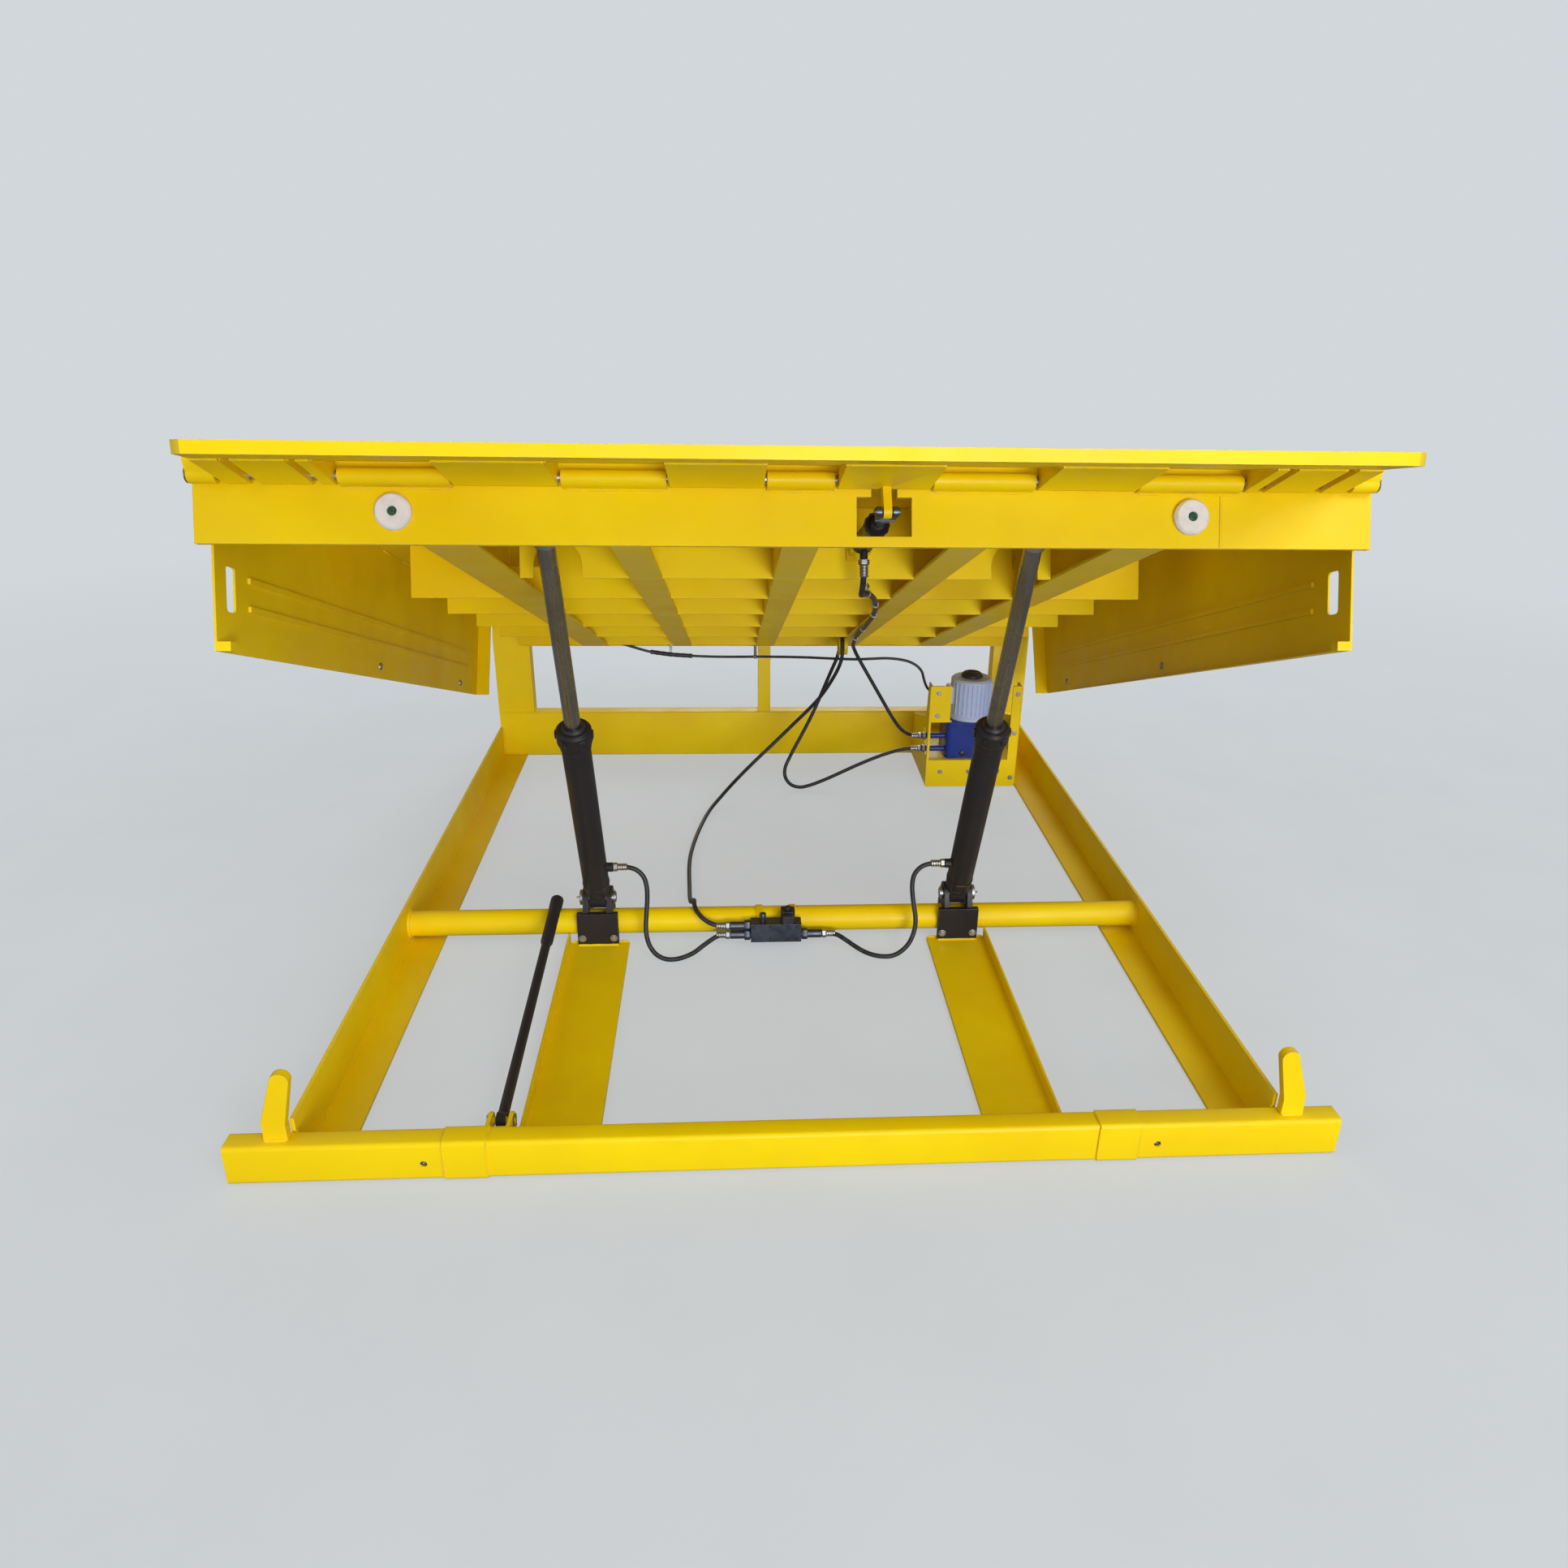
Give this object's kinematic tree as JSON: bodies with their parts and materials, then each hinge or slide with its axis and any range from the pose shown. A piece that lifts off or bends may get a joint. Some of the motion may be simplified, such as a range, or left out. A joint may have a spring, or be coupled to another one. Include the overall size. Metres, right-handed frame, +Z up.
{
  "type": "hydraulic dock leveller",
  "caption": "Dock leveller: ground frame, ribbed deck hinged at the rear and raised by hydraulic rams, swing lip, toe guards, power pack, hoses and service prop.",
  "frame": {"origin": "centre of the bounding box on the floor, under the raised deck", "axes": "+X to the right seen from the lip end, +Y from the lip end to the rear hinge, +Z up"},
  "size_m": [2.14, 2.4678, 1.362],
  "materials": {
    "yellow_paint": "semi-gloss",
    "black_paint": "satin",
    "rod_chrome": "polished, dusty",
    "bright_steel": "zinc plated",
    "hose_rubber": "satin",
    "cable_sheath": "matte",
    "cap_plastic": "matte",
    "buffer_rubber": "matte",
    "tank_blue": "gloss",
    "motor_grey": "satin"
  },
  "bodies": {
    "base": {"front_beam": "yellow_paint", "rear_beam": "yellow_paint", "rear_post_centre": "yellow_paint", "rear_hinge_shaft": "bright_steel", "cross_tube": "yellow_paint", "lip_keeper_left": "yellow_paint", "lip_keeper_right": "yellow_paint", "side_member_left": "yellow_paint", "side_member_right": "yellow_paint", "rear_post_left": "yellow_paint", "rear_post_right": "yellow_paint", "inner_plate_left": "yellow_paint", "inner_plate_right": "yellow_paint", "lift_clevis_left": "black_paint", "lift_clevis_right": "black_paint", "lift_pin_left": "bright_steel", "lift_pin_right": "bright_steel", "hose_left": "hose_rubber", "hose_right": "hose_rubber", "valve_block": "bright_steel", "pack_housing": "yellow_paint", "oil_tank": "tank_blue", "pump_motor": "motor_grey", "motor_cap": "cap_plastic", "prop_bracket": "yellow_paint", "supply_hose": "hose_rubber"},
    "deck": {"deck_plate": "yellow_paint", "header_plate": "yellow_paint", "rear_end_plate": "yellow_paint", "lip_hinge_pin": "bright_steel", "lip_cylinder_bracket": "yellow_paint", "lip_hose": "hose_rubber", "power_cable": "cable_sheath", "deck_beam_1": "yellow_paint", "deck_beam_2": "yellow_paint", "deck_beam_3": "yellow_paint", "deck_beam_4": "yellow_paint", "deck_beam_5": "yellow_paint", "cross_rib_1": "yellow_paint", "cross_rib_2": "yellow_paint", "cross_rib_3": "yellow_paint", "cross_rib_4": "yellow_paint", "cross_rib_5": "yellow_paint", "cross_rib_6": "yellow_paint", "toe_guard_left": "yellow_paint", "toe_guard_right": "yellow_paint", "buffer_left": "buffer_rubber", "buffer_right": "buffer_rubber", "lift_bracket_left": "yellow_paint", "lift_bracket_right": "yellow_paint"},
    "lip": {"lip_plate": "yellow_paint"},
    "left_barrel": {"lift_barrel_left": "black_paint", "lift_gland_left": "black_paint"},
    "left_rod": {"lift_rod_left": "rod_chrome"},
    "right_barrel": {"lift_barrel_right": "black_paint", "lift_gland_right": "black_paint"},
    "right_rod": {"lift_rod_right": "rod_chrome"},
    "lip_barrel": {"lip_cylinder_barrel": "black_paint"},
    "lip_rod": {"lip_cylinder_rod": "rod_chrome"},
    "prop": {"prop_bar": "black_paint"}
  },
  "joints": [
    {"name": "deck_tilt", "type": "hinge", "parent": "base", "child": "deck", "pos_m": [0, 1.20829, 0.514], "axis": [-1, 0, 0], "range_deg": [-20.3, 0], "deforming": ["supply_hose", "lip_hose", "power_cable"]},
    {"name": "lip_swing", "type": "hinge", "parent": "deck", "child": "lip", "pos_m": [0, -0.82106, 1.26255], "axis": [-1, 0, 0], "range_deg": [-77.7, 0]},
    {"name": "left_barrel_swing", "type": "hinge", "parent": "base", "child": "left_barrel", "pos_m": [-0.467, -0.16471, 0.124], "axis": [-1, 0, 0], "range_deg": [-33.87, 0], "deforming": ["hose_left"]},
    {"name": "left_rod_slide", "type": "slide", "parent": "left_barrel", "child": "left_rod", "axis": [0, -0.4009, 0.9161], "range_m": [-0.46074, 0]},
    {"name": "right_barrel_swing", "type": "hinge", "parent": "base", "child": "right_barrel", "pos_m": [0.467, -0.16471, 0.124], "axis": [-1, 0, 0], "range_deg": [-33.87, 0], "deforming": ["hose_right"]},
    {"name": "right_rod_slide", "type": "slide", "parent": "right_barrel", "child": "right_rod", "axis": [0, -0.4009, 0.9161], "range_m": [-0.46074, 0]},
    {"name": "lip_barrel_swing", "type": "hinge", "parent": "deck", "child": "lip_barrel", "pos_m": [0.143, -0.49657, 1.09347], "axis": [-1, 0, 0], "range_deg": [0, 4.13]},
    {"name": "lip_rod_slide", "type": "slide", "parent": "lip_barrel", "child": "lip_rod", "axis": [0, -0.9469, 0.3214], "range_m": [-0.07157, 0]},
    {"name": "prop_swing", "type": "hinge", "parent": "base", "child": "prop", "pos_m": [-0.576, -0.96071, 0.058], "axis": [1, 0, 0], "range_deg": [0, 18]}
  ],
  "couplings": [
    {"joint": "left_barrel_swing", "follows": "deck_tilt", "ratio": 1.6678},
    {"joint": "left_rod_slide", "follows": "deck_tilt", "m_per_rad": 1.299},
    {"joint": "right_barrel_swing", "follows": "deck_tilt", "ratio": 1.6678},
    {"joint": "right_rod_slide", "follows": "deck_tilt", "m_per_rad": 1.299},
    {"joint": "lip_barrel_swing", "follows": "lip_swing", "ratio": -0.052848},
    {"joint": "lip_rod_slide", "follows": "lip_swing", "m_per_rad": 0.052404}
  ]
}
